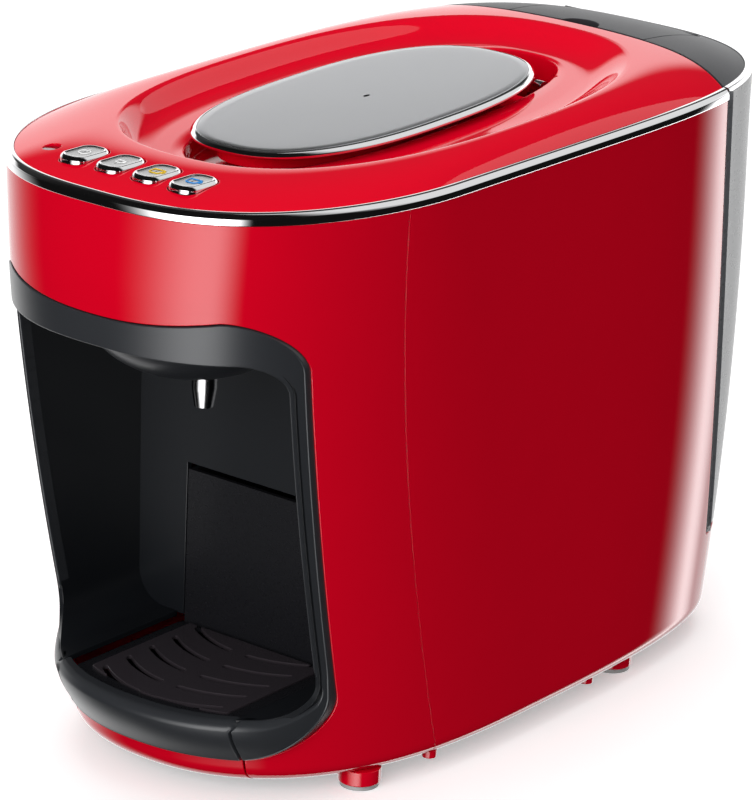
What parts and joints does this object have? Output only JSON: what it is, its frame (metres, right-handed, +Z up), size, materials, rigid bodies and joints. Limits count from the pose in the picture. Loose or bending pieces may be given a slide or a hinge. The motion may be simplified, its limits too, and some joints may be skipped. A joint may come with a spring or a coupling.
{
  "type": "pod coffee machine",
  "caption": "Compact pod coffee machine with a rounded two-ended body, lever-operated capsule slot in the top, cup niche, pull-out drip drawer and lift-off rear water tank.",
  "frame": {"origin": "middle of the footprint, on the surface the feet stand on", "axes": "+Z up; -Y is the front with the cup niche; +Y is the back with the water tank; +X completes a right-handed frame"},
  "size_m": [0.1802, 0.3626, 0.2558],
  "materials": {
    "red_gloss": "high gloss",
    "chrome_trim": "polished",
    "dark_frame": "satin",
    "niche_black": "satin",
    "lever_metal": "satin",
    "button_metal": "satin top, polished edge",
    "grate_dark": "gloss",
    "tray_black": "satin",
    "tank_smoke": "translucent",
    "lid_charcoal": "fine texture",
    "black_rubber": "matt",
    "pad_grey": "matt",
    "white_plastic": "matt",
    "steel": "bright",
    "heater_alloy": "cast",
    "board_green": "satin",
    "light_lens": "gloss",
    "hose": "satin"
  },
  "bodies": {
    "housing": {"front_shell": "red_gloss", "rear_shell": "red_gloss", "top_cover": "red_gloss", "chrome_band": "chrome_trim", "niche_frame": "dark_frame", "niche_liner": "niche_black", "base_plate": "tray_black", "base_feet": "red_gloss", "foot_pads": "pad_grey", "brew_head": "dark_frame", "coffee_spout": "steel", "brew_chamber": "tray_black", "capsule_chute": "tray_black", "pump": "steel", "pump_mounts": "black_rubber", "flow_meter": "white_plastic", "heater": "heater_alloy", "water_hoses": "hose", "control_board": "board_green", "button_board": "board_green", "status_light": "light_lens", "power_inlet": "black_rubber", "housing_screws": "steel", "tank_seat": "tray_black", "lever_bracket": "steel", "lever_pin": "steel", "button_springs": "steel"},
    "lever": {"lever_base": "red_gloss", "lever_trim": "chrome_trim", "lever_plate": "lever_metal"},
    "piston": {"brew_piston": "white_plastic", "piston_seal": "black_rubber"},
    "power_button": {"power_button": "button_metal"},
    "small_cup_button": {"small_cup_button": "button_metal"},
    "large_cup_button": {"large_cup_button": "button_metal"},
    "hot_water_button": {"hot_water_button": "button_metal"},
    "drawer": {"drawer_front": "dark_frame", "drawer_trim": "red_gloss", "drip_tray": "tray_black", "capsule_bin": "tray_black"},
    "grate": {"drip_grate": "grate_dark"},
    "tank": {"water_tank": "tank_smoke", "tank_lid": "lid_charcoal", "tank_rim": "chrome_trim", "flap_pin": "steel", "tank_strainer": "white_plastic", "valve_spring": "steel"},
    "flap": {"tank_flap": "lid_charcoal"},
    "valve": {"tank_valve": "white_plastic"}
  },
  "joints": [
    {"name": "lever_hinge", "type": "hinge", "parent": "housing", "child": "lever", "pos_m": [0, 0.064, 0.2435], "axis": [-1, 0, 0], "range_deg": [0, 75]},
    {"name": "piston_slide", "type": "slide", "parent": "housing", "child": "piston", "axis": [0, 1, 0], "range_m": [0, 0.012]},
    {"name": "power_press", "type": "slide", "parent": "housing", "child": "power_button", "axis": [0, 0, -1], "range_m": [0, 0.001], "stiffness_N_per_m": 400, "springref_m": -0.001},
    {"name": "small_cup_press", "type": "slide", "parent": "housing", "child": "small_cup_button", "axis": [0, 0, -1], "range_m": [0, 0.001], "stiffness_N_per_m": 400, "springref_m": -0.001},
    {"name": "large_cup_press", "type": "slide", "parent": "housing", "child": "large_cup_button", "axis": [0, 0, -1], "range_m": [0, 0.001], "stiffness_N_per_m": 400, "springref_m": -0.001},
    {"name": "hot_water_press", "type": "slide", "parent": "housing", "child": "hot_water_button", "axis": [0, 0, -1], "range_m": [0, 0.001], "stiffness_N_per_m": 400, "springref_m": -0.001},
    {"name": "drawer_slide", "type": "slide", "parent": "housing", "child": "drawer", "axis": [0, -1, 0], "range_m": [0, 0.13]},
    {"name": "grate_lift", "type": "slide", "parent": "drawer", "child": "grate", "axis": [0, 0, 1], "range_m": [0, 0.1]},
    {"name": "tank_lift", "type": "slide", "parent": "housing", "child": "tank", "axis": [0, 0, 1], "range_m": [0, 0.21]},
    {"name": "flap_hinge", "type": "hinge", "parent": "tank", "child": "flap", "pos_m": [0, 0.163, 0.249], "axis": [-1, 0, 0], "range_deg": [0, 80]},
    {"name": "valve_lift", "type": "slide", "parent": "tank", "child": "valve", "axis": [0, 0, 1], "range_m": [0, 0.0025], "stiffness_N_per_m": 200, "springref_m": -0.001, "deforming": ["valve_spring"]}
  ],
  "couplings": [
    {"joint": "piston_slide", "follows": "lever_hinge", "m_per_rad": 0.00916}
  ]
}
